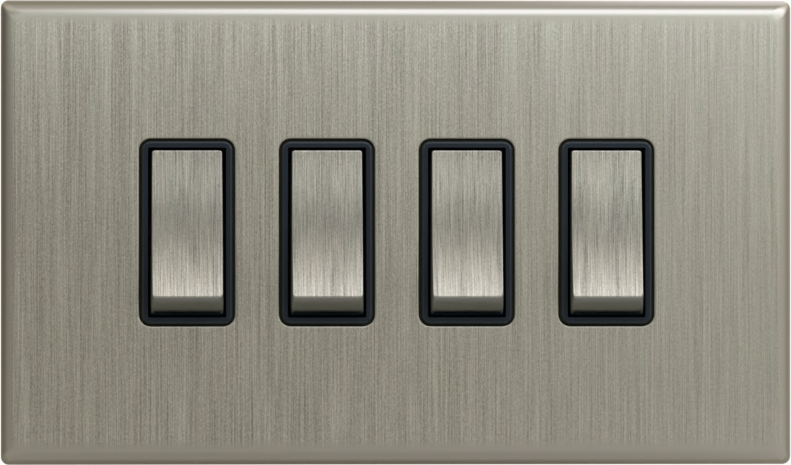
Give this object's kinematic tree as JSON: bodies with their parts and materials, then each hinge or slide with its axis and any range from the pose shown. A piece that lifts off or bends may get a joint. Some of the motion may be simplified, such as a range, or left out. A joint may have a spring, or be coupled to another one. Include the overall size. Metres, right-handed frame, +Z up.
{
  "type": "rocker light switch",
  "caption": "Screwless rocker light switch on a wide wall plate: brushed metal rockers tilt in black bezels and flip contact blades between brass terminals.",
  "frame": {"origin": "middle of the wall face, the plane on which the support frame's turned-back edge and the plate's rim stand", "axes": "+X to the right as seen from the room, +Y into the wall, +Z up; the rockers face -Y"},
  "size_m": [0.1466, 0.0256, 0.086],
  "materials": {
    "satin_nickel": "satin nickel, brushed up and down",
    "black_moulding": "satin black moulding",
    "grey_moulding": "dull dark grey thermoset",
    "zinc_steel": "bright zinc plate on pressed steel",
    "brass": "plain brass",
    "plated_steel": "plated screw steel",
    "spring_steel": "drawn wire",
    "pale_nylon": "natural nylon"
  },
  "bodies": {
    "housing": {"front_plate": "satin_nickel", "clip_frame": "black_moulding", "support_frame": "zinc_steel", "earth_terminal": "brass", "earth_screw": "plated_steel", "surround_1": "black_moulding", "surround_2": "black_moulding", "surround_3": "black_moulding", "surround_4": "black_moulding", "base_1": "grey_moulding", "base_2": "grey_moulding", "base_3": "grey_moulding", "base_4": "grey_moulding", "common_terminal_1": "brass", "common_terminal_2": "brass", "common_terminal_3": "brass", "common_terminal_4": "brass", "way_one_terminal_1": "brass", "way_one_terminal_2": "brass", "way_one_terminal_3": "brass", "way_one_terminal_4": "brass", "way_two_terminal_1": "brass", "way_two_terminal_2": "brass", "way_two_terminal_3": "brass", "way_two_terminal_4": "brass", "terminal_screws_1": "plated_steel", "terminal_screws_2": "plated_steel", "terminal_screws_3": "plated_steel", "terminal_screws_4": "plated_steel"},
    "rocker_1": {"rocker_cap_1": "satin_nickel", "dolly_1": "black_moulding", "spring_1": "spring_steel"},
    "plunger_1": {"plunger_1": "pale_nylon"},
    "blade_1": {"contact_blade_1": "brass"},
    "rocker_2": {"rocker_cap_2": "satin_nickel", "dolly_2": "black_moulding", "spring_2": "spring_steel"},
    "plunger_2": {"plunger_2": "pale_nylon"},
    "blade_2": {"contact_blade_2": "brass"},
    "rocker_3": {"rocker_cap_3": "satin_nickel", "dolly_3": "black_moulding", "spring_3": "spring_steel"},
    "plunger_3": {"plunger_3": "pale_nylon"},
    "blade_3": {"contact_blade_3": "brass"},
    "rocker_4": {"rocker_cap_4": "satin_nickel", "dolly_4": "black_moulding", "spring_4": "spring_steel"},
    "plunger_4": {"plunger_4": "pale_nylon"},
    "blade_4": {"contact_blade_4": "brass"}
  },
  "joints": [
    {"name": "rocker_hinge_1", "type": "hinge", "parent": "housing", "child": "rocker_1", "pos_m": [-0.03885, 0.0019, 0], "axis": [1, 0, 0], "range_deg": [0, 20]},
    {"name": "blade_hinge_1", "type": "hinge", "parent": "housing", "child": "blade_1", "pos_m": [-0.03885, 0.01025, 0], "axis": [1, 0, 0], "range_deg": [-16, 0]},
    {"name": "plunger_slide_1", "type": "slide", "parent": "rocker_1", "child": "plunger_1", "axis": [0, -0.9848, 0.1736], "range_m": [0, 0.0006], "stiffness_N_per_m": 600, "springref_m": -0.001, "deforming": ["spring_1"]},
    {"name": "rocker_hinge_2", "type": "hinge", "parent": "housing", "child": "rocker_2", "pos_m": [-0.01295, 0.0019, 0], "axis": [1, 0, 0], "range_deg": [0, 20]},
    {"name": "blade_hinge_2", "type": "hinge", "parent": "housing", "child": "blade_2", "pos_m": [-0.01295, 0.01025, 0], "axis": [1, 0, 0], "range_deg": [-16, 0]},
    {"name": "plunger_slide_2", "type": "slide", "parent": "rocker_2", "child": "plunger_2", "axis": [0, -0.9848, 0.1736], "range_m": [0, 0.0006], "stiffness_N_per_m": 600, "springref_m": -0.001, "deforming": ["spring_2"]},
    {"name": "rocker_hinge_3", "type": "hinge", "parent": "housing", "child": "rocker_3", "pos_m": [0.01295, 0.0019, 0], "axis": [1, 0, 0], "range_deg": [0, 20]},
    {"name": "blade_hinge_3", "type": "hinge", "parent": "housing", "child": "blade_3", "pos_m": [0.01295, 0.01025, 0], "axis": [1, 0, 0], "range_deg": [-16, 0]},
    {"name": "plunger_slide_3", "type": "slide", "parent": "rocker_3", "child": "plunger_3", "axis": [0, -0.9848, 0.1736], "range_m": [0, 0.0006], "stiffness_N_per_m": 600, "springref_m": -0.001, "deforming": ["spring_3"]},
    {"name": "rocker_hinge_4", "type": "hinge", "parent": "housing", "child": "rocker_4", "pos_m": [0.03885, 0.0019, 0], "axis": [1, 0, 0], "range_deg": [0, 20]},
    {"name": "blade_hinge_4", "type": "hinge", "parent": "housing", "child": "blade_4", "pos_m": [0.03885, 0.01025, 0], "axis": [1, 0, 0], "range_deg": [-16, 0]},
    {"name": "plunger_slide_4", "type": "slide", "parent": "rocker_4", "child": "plunger_4", "axis": [0, -0.9848, 0.1736], "range_m": [0, 0.0006], "stiffness_N_per_m": 600, "springref_m": -0.001, "deforming": ["spring_4"]}
  ],
  "couplings": [
    {"joint": "blade_hinge_1", "follows": "rocker_hinge_1", "ratio": -0.8},
    {"joint": "blade_hinge_2", "follows": "rocker_hinge_2", "ratio": -0.8},
    {"joint": "blade_hinge_3", "follows": "rocker_hinge_3", "ratio": -0.8},
    {"joint": "blade_hinge_4", "follows": "rocker_hinge_4", "ratio": -0.8}
  ]
}
